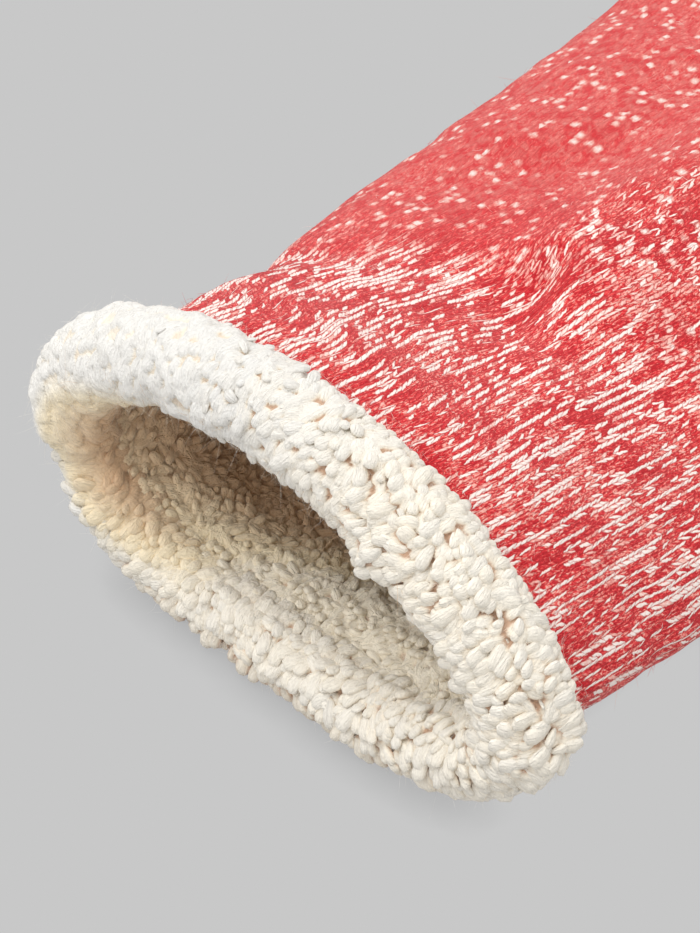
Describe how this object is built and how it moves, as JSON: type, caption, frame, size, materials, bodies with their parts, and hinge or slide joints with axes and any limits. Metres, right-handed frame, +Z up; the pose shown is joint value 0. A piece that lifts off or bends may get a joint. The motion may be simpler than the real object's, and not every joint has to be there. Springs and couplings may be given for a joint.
{
  "type": "crew sock",
  "caption": "Crew sock laid on its side: marl knit outside, looped terry inside, and an open top curled outwards into a fat terry roll.",
  "frame": {"origin": "centre of the bounding box, at the bottom, on the surface that the sock lies on", "axes": "+Y along the leg from its open mouth towards the heel, +Z up through the flat sock, +X towards the heel's side"},
  "size_m": [0.2299, 0.2977, 0.042],
  "materials": {
    "red_marl_knit": "fine red and white marl knit, matt and slightly fuzzy",
    "ecru_terry": "undyed looped terry, soft and matt"
  },
  "bodies": {
    "root": {"knit_sock": "red_marl_knit", "terry_lining": "ecru_terry", "terry_roll": "ecru_terry"}
  },
  "joints": []
}
